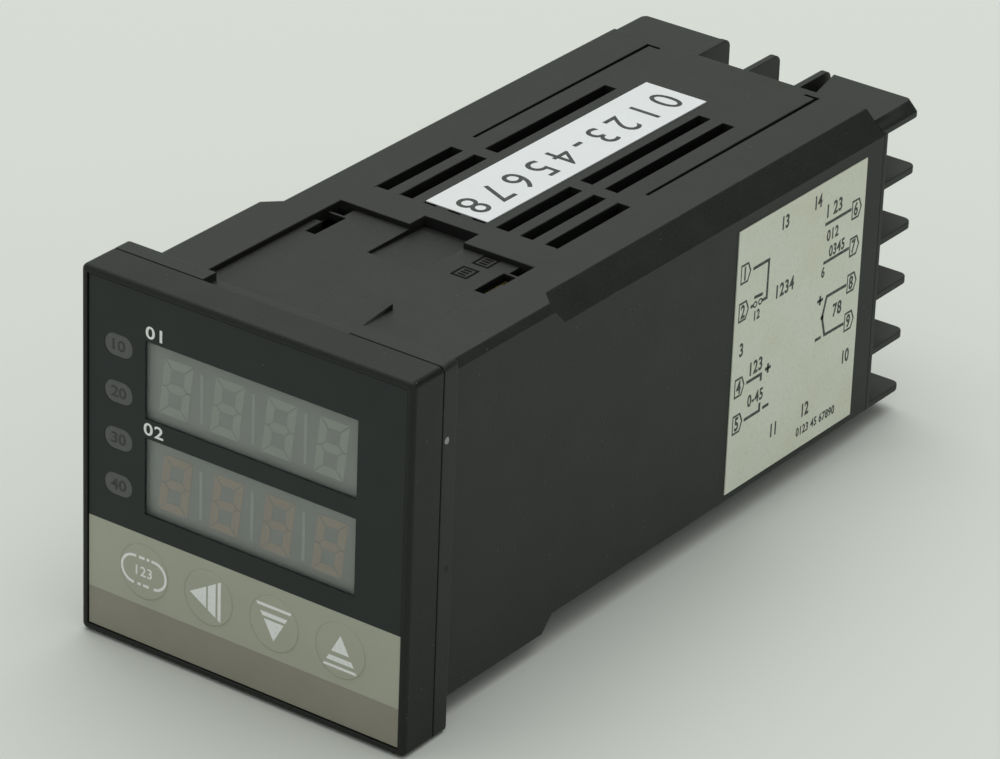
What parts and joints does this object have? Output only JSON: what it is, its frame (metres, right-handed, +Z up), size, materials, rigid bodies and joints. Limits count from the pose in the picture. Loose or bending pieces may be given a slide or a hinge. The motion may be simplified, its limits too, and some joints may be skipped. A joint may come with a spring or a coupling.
{
  "type": "panel temperature controller",
  "caption": "Square-fronted panel temperature controller: a deep vented case with rear screw terminals, and works with displays and film keys that draw out to the front.",
  "frame": {"origin": "middle of the outline on the surface that the lower edge of the front frame stands on", "axes": "+Z up, +Y from the front panel to the rear terminals, +X to the right as seen from the front"},
  "size_m": [0.048, 0.1086, 0.048],
  "materials": {
    "case_plastic": "moulded black plastic with a fine spark texture",
    "block_plastic": "moulded black plastic, slightly smoother",
    "frame_plastic": "moulded dark grey plastic, fine texture",
    "front_film": "satin printed film, charcoal with a warm grey key zone",
    "key_film": "satin printed film, warm grey",
    "smoked_window": "clear polished plastic, smoked",
    "display_module": "grey display module with unlit segments",
    "light_guide": "clear moulded guide",
    "lamp_chip": "small clear lamp",
    "circuit_board": "green solder mask on glass fibre",
    "key_plunger": "natural moulded plastic",
    "switch_black": "black moulded plastic",
    "terminal_metal": "nickel-plated brass strip",
    "screw_steel": "zinc-plated steel",
    "label_paper": "printed off-white label",
    "sticker_paper": "printed white sticker",
    "ferrite": "dull grey ferrite",
    "winding": "coil under yellow tape",
    "capacitor_can": "can in a dark printed sleeve",
    "relay_case": "blue moulded case",
    "chip_case": "black moulded chip"
  },
  "bodies": {
    "case": {"case_shell": "case_plastic", "terminal_block": "block_plastic", "terminal_plates": "terminal_metal", "clamp_washers": "screw_steel", "terminal_screws": "screw_steel", "side_label": "label_paper", "top_sticker": "sticker_paper"},
    "works": {"front_frame": "frame_plastic", "overlay_film": "front_film", "window_filter": "smoked_window", "upper_display": "display_module", "lower_display": "display_module", "lamp_guides": "light_guide", "lamp_leds": "lamp_chip", "display_board": "circuit_board", "key_switches": "switch_black", "main_board": "circuit_board", "power_board": "circuit_board", "main_header": "switch_black", "power_header": "switch_black", "board_spacer": "key_plunger", "transformer_coil": "winding", "transformer_core": "ferrite", "bulk_capacitor": "capacitor_can", "output_capacitors": "capacitor_can", "alarm_relay": "relay_case", "processor_chip": "chip_case", "memory_chip": "chip_case"},
    "set_key": {"set_key_dome": "key_film", "set_key_plunger": "key_plunger", "set_switch_button": "switch_black"},
    "shift_key": {"shift_key_dome": "key_film", "shift_key_plunger": "key_plunger", "shift_switch_button": "switch_black"},
    "down_key": {"down_key_dome": "key_film", "down_key_plunger": "key_plunger", "down_switch_button": "switch_black"},
    "up_key": {"up_key_dome": "key_film", "up_key_plunger": "key_plunger", "up_switch_button": "switch_black"}
  },
  "joints": [
    {"name": "works_slide", "type": "slide", "parent": "case", "child": "works", "axis": [0, -1, 0], "range_m": [0, 0.085]},
    {"name": "set_key_press", "type": "slide", "parent": "works", "child": "set_key", "axis": [0, 1, 0], "range_m": [0, 0.0003], "stiffness_N_per_m": 5000},
    {"name": "shift_key_press", "type": "slide", "parent": "works", "child": "shift_key", "axis": [0, 1, 0], "range_m": [0, 0.0003], "stiffness_N_per_m": 5000},
    {"name": "down_key_press", "type": "slide", "parent": "works", "child": "down_key", "axis": [0, 1, 0], "range_m": [0, 0.0003], "stiffness_N_per_m": 5000},
    {"name": "up_key_press", "type": "slide", "parent": "works", "child": "up_key", "axis": [0, 1, 0], "range_m": [0, 0.0003], "stiffness_N_per_m": 5000}
  ]
}
